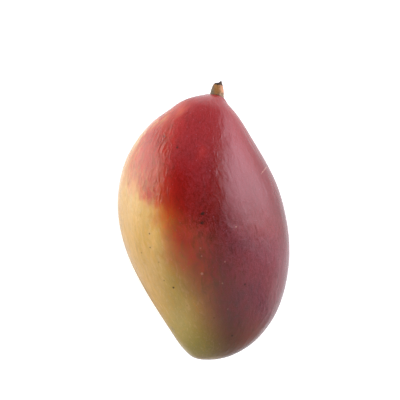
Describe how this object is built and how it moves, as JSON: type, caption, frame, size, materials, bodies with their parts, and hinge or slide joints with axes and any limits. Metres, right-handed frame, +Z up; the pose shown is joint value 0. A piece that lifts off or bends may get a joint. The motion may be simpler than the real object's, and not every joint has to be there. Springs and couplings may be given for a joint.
{
  "type": "mango",
  "caption": "Whole ripe mango lying on one cheek, red-blushed over yellow and green skin, with the dried stub of its stem at the shoulder.",
  "frame": {"origin": "middle of the bounding box's base, on the small flat spot of the lower cheek", "axes": "+Z up through the upper cheek, +Y along the fruit to the stem end, +X across the fruit to its fuller edge"},
  "size_m": [0.0872, 0.1422, 0.0762],
  "materials": {
    "skin": "satin",
    "dry_stem": "matte"
  },
  "bodies": {
    "root": {"fruit": "skin", "stem_stub": "dry_stem"}
  },
  "joints": []
}
